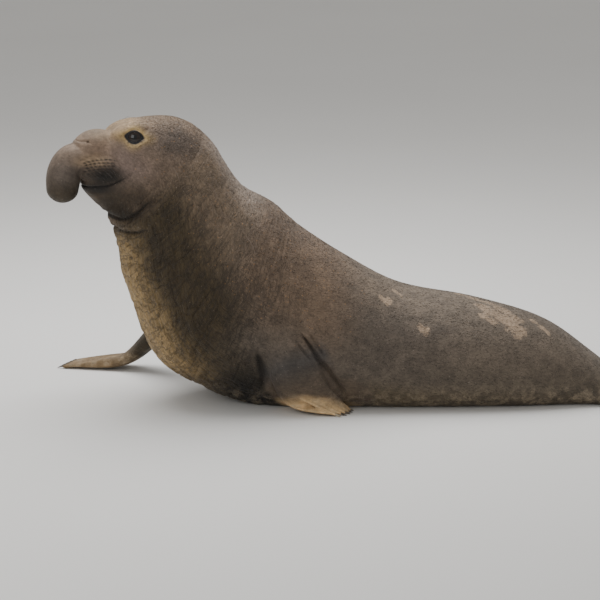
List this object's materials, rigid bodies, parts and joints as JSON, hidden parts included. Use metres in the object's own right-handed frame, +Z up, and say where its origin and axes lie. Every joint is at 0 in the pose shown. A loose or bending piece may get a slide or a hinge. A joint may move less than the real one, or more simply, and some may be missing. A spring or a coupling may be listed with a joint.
{
  "type": "bull elephant seal",
  "caption": "Life-size young bull elephant seal, chest raised on its fore flippers, with a short hanging proboscis, whisker pads and fanned hind flippers.",
  "frame": {"origin": "on the ground, under the centre of the animal's box", "axes": "+Z up, -X the way the animal faces, -Y its left side"},
  "size_m": [3.3748, 1.132, 1.4437],
  "materials": {
    "hide": "short flat fur, matt",
    "shield": "rugged wrinkled skin, matt",
    "face": "short flat fur, faint sheen",
    "flipper": "sandy short fur with horn claws",
    "eye": "wet, polished"
  },
  "bodies": {
    "root": {"head": "face", "proboscis": "face", "lower_jaw": "face", "eye_left": "eye", "eye_right": "eye", "neck": "shield", "chest": "shield", "torso": "hide", "abdomen": "hide", "hips": "hide", "tail": "hide", "fore_arm_left": "hide", "fore_arm_right": "hide", "fore_hand_left": "flipper", "fore_hand_right": "flipper", "hind_flipper_left": "flipper", "hind_flipper_right": "flipper"}
  },
  "joints": []
}
